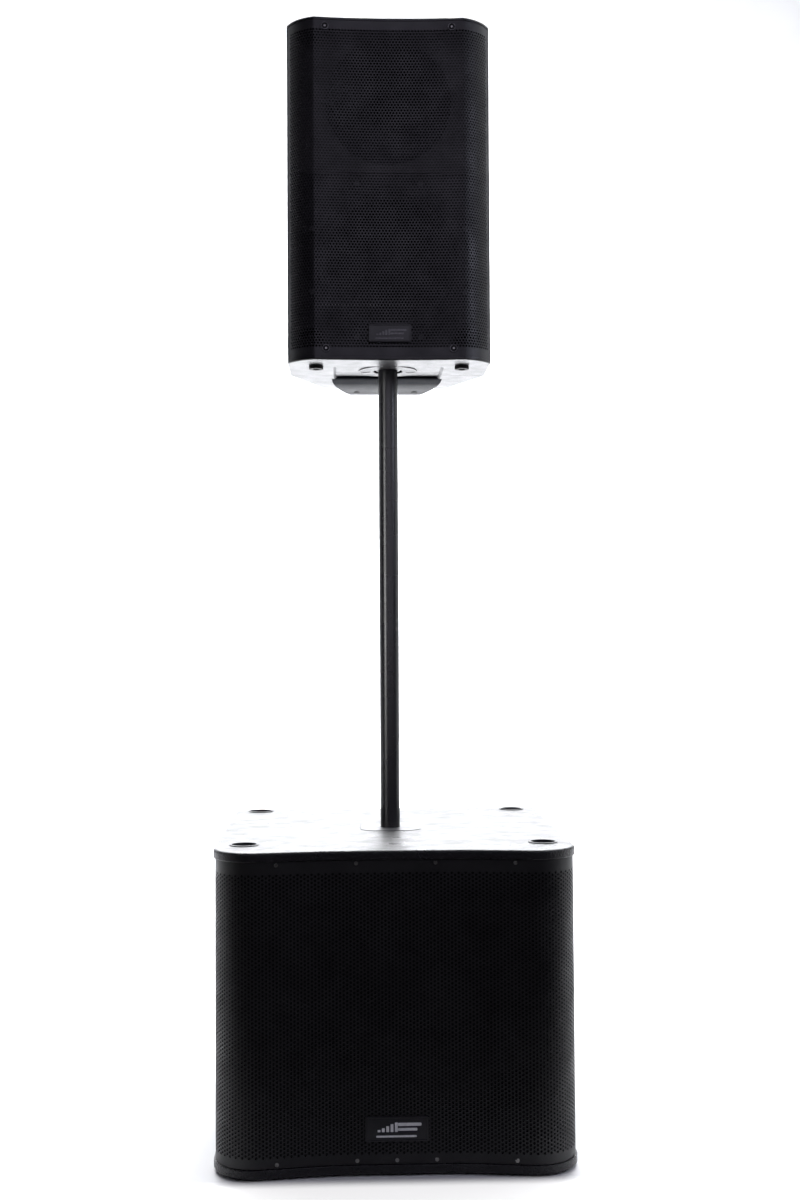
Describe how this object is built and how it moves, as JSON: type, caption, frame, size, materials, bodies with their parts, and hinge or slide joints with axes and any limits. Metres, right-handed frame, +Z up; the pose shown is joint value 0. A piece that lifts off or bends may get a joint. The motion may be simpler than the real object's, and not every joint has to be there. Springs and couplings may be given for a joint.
{
  "type": "pa speaker",
  "caption": "Portable sound stack: a powered subwoofer, a threaded pole and a two-way powered loudspeaker that swivels and tilts on the pole.",
  "frame": {"origin": "on the floor, under the pole, in the middle of the stack", "axes": "+Z up; -Y is the front of both cabinets; +X is to the right when the fronts are seen"},
  "size_m": [0.594, 0.6273, 1.9425],
  "materials": {
    "cabinet_paint": "black textured paint over plywood, pebbled and slightly glossy",
    "birch_ply": "plywood painted flat black",
    "grille_steel": "perforated steel, matt black powder coat",
    "grille_foam": "open-cell acoustic foam, black",
    "zinc_screw": "zinc plated, worn",
    "black_screw": "black oxide",
    "badge_plastic": "dark grey with light inlay bars",
    "foot_rubber": "matt rubber",
    "cup_plastic": "moulded black plastic, fine grain",
    "cowl_plastic": "dark grey, matte, fine grain",
    "socket_metal": "grey-black enamel",
    "basket_metal": "black enamel",
    "motor_steel": "dull steel and ferrite",
    "surround_foam": "black rubber roll",
    "spider_cloth": "resin-treated cotton, tan",
    "paper_cone": "pressed pulp, black",
    "coil_alloy": "copper winding on a thin former",
    "panel_metal": "black powder coat",
    "heat_sink_alloy": "black anodised",
    "circuit_board": "green solder mask with black parts",
    "connector_plastic": "black nylon",
    "knob_plastic": "black, soft touch",
    "switch_plastic": "black",
    "pole_steel": "semi-gloss black powder coat",
    "stud_steel": "zinc plated thread",
    "cap_plastic": "black nylon",
    "shell_plastic": "black structural plastic with a pebbled grain",
    "horn_plastic": "smooth black plastic",
    "insert_steel": "zinc plated",
    "handle_alloy": "black enamel, worn by hands"
  },
  "bodies": {
    "subwoofer": {"sub_top_panel": "cabinet_paint", "sub_bottom_panel": "cabinet_paint", "sub_side_panels": "cabinet_paint", "sub_rear_panel": "cabinet_paint", "sub_baffle": "birch_ply", "sub_port_walls": "birch_ply", "sub_grille": "grille_steel", "sub_grille_foam": "grille_foam", "sub_grille_screws": "zinc_screw", "sub_badge": "badge_plastic", "sub_feet": "foot_rubber", "sub_stacking_cups": "cup_plastic", "sub_pole_socket": "socket_metal", "sub_handles": "cup_plastic", "sub_woofer_basket": "basket_metal", "sub_woofer_motor": "motor_steel", "sub_woofer_surround": "surround_foam", "sub_woofer_spider": "spider_cloth", "sub_amp_panel": "panel_metal", "sub_heat_sink": "heat_sink_alloy", "sub_amp_board": "circuit_board", "sub_connectors": "connector_plastic", "sub_fixing_screws": "black_screw"},
    "sub_cone": {"sub_woofer_cone": "paper_cone", "sub_voice_coil": "coil_alloy"},
    "sub_gain": {"sub_gain_knob": "knob_plastic"},
    "sub_polarity": {"sub_polarity_switch": "switch_plastic"},
    "sub_power": {"sub_power_rocker": "switch_plastic"},
    "pole": {"pole_tube": "pole_steel", "pole_threaded_stud": "stud_steel", "pole_end_cap": "cap_plastic"},
    "liner": {"socket_liner": "cap_plastic"},
    "socket": {"tilt_socket": "socket_metal"},
    "top_speaker": {"front_shell": "shell_plastic", "rear_shell": "shell_plastic", "top_grille": "grille_steel", "top_grille_screws": "black_screw", "top_badge": "badge_plastic", "horn_waveguide": "horn_plastic", "compression_driver": "motor_steel", "top_woofer_basket": "basket_metal", "top_woofer_motor": "motor_steel", "top_woofer_surround": "surround_foam", "top_woofer_spider": "spider_cloth", "amp_chassis": "panel_metal", "top_heat_sink": "heat_sink_alloy", "top_amp_board": "circuit_board", "top_connectors": "connector_plastic", "amp_cowl": "cowl_plastic", "top_feet": "foot_rubber", "fly_inserts": "insert_steel", "handle_bars": "handle_alloy", "driver_bolts": "black_screw"},
    "tilt_dial": {"tilt_ring": "cup_plastic"},
    "top_cone": {"top_woofer_cone": "paper_cone", "top_voice_coil": "coil_alloy"},
    "gain_a": {"gain_knob_a": "knob_plastic"},
    "gain_b": {"gain_knob_b": "knob_plastic"},
    "bass_slider": {"bass_switch": "switch_plastic"},
    "top_power": {"top_power_rocker": "switch_plastic"}
  },
  "joints": [
    {"name": "sub_cone_stroke", "type": "slide", "parent": "subwoofer", "child": "sub_cone", "axis": [0, 1, 0], "range_m": [-0.008, 0.008], "stiffness_N_per_m": 8000, "deforming": ["sub_woofer_surround", "sub_woofer_spider"]},
    {"name": "sub_gain_turn", "type": "hinge", "parent": "subwoofer", "child": "sub_gain", "pos_m": [0.01, 0.302, 0.215], "axis": [0, 1, 0], "range_deg": [-150, 150]},
    {"name": "sub_polarity_slide", "type": "slide", "parent": "subwoofer", "child": "sub_polarity", "axis": [1, 0, 0], "range_m": [-0.0039, 0.0039]},
    {"name": "sub_power_rock", "type": "hinge", "parent": "subwoofer", "child": "sub_power", "pos_m": [0.08, 0.299, 0.215], "axis": [1, 0, 0], "range_deg": [0, 12]},
    {"name": "pole_lift", "type": "slide", "parent": "subwoofer", "child": "pole", "axis": [0, 0, 1], "range_m": [0, 0.1]},
    {"name": "speaker_lift", "type": "slide", "parent": "pole", "child": "liner", "axis": [0, 0, 1], "range_m": [0, 0.1]},
    {"name": "speaker_swivel", "type": "hinge", "parent": "liner", "child": "socket", "pos_m": [0, 0, 1.3435], "axis": [0, 0, 1], "continuous": true},
    {"name": "speaker_tilt", "type": "hinge", "parent": "socket", "child": "top_speaker", "pos_m": [0, 0, 1.3595], "axis": [1, 0, 0], "range_deg": [0, 7.5]},
    {"name": "tilt_dial_turn", "type": "hinge", "parent": "top_speaker", "child": "tilt_dial", "pos_m": [0, 0, 1.3435], "axis": [0, 0, 1], "range_deg": [0, 180]},
    {"name": "top_cone_stroke", "type": "slide", "parent": "top_speaker", "child": "top_cone", "axis": [0, 1, 0], "range_m": [-0.005, 0.005], "stiffness_N_per_m": 4000, "deforming": ["top_woofer_surround", "top_woofer_spider"]},
    {"name": "gain_a_turn", "type": "hinge", "parent": "top_speaker", "child": "gain_a", "pos_m": [-0.042, 0.176, 1.5755], "axis": [0, 1, 0], "range_deg": [-150, 150]},
    {"name": "gain_b_turn", "type": "hinge", "parent": "top_speaker", "child": "gain_b", "pos_m": [0, 0.176, 1.5755], "axis": [0, 1, 0], "range_deg": [-150, 150]},
    {"name": "bass_switch_slide", "type": "slide", "parent": "top_speaker", "child": "bass_slider", "axis": [1, 0, 0], "range_m": [-0.0039, 0.0039]},
    {"name": "top_power_rock", "type": "hinge", "parent": "top_speaker", "child": "top_power", "pos_m": [-0.042, 0.173, 1.4395], "axis": [1, 0, 0], "range_deg": [0, 12]}
  ],
  "couplings": [
    {"joint": "tilt_dial_turn", "follows": "speaker_tilt", "ratio": 24}
  ]
}
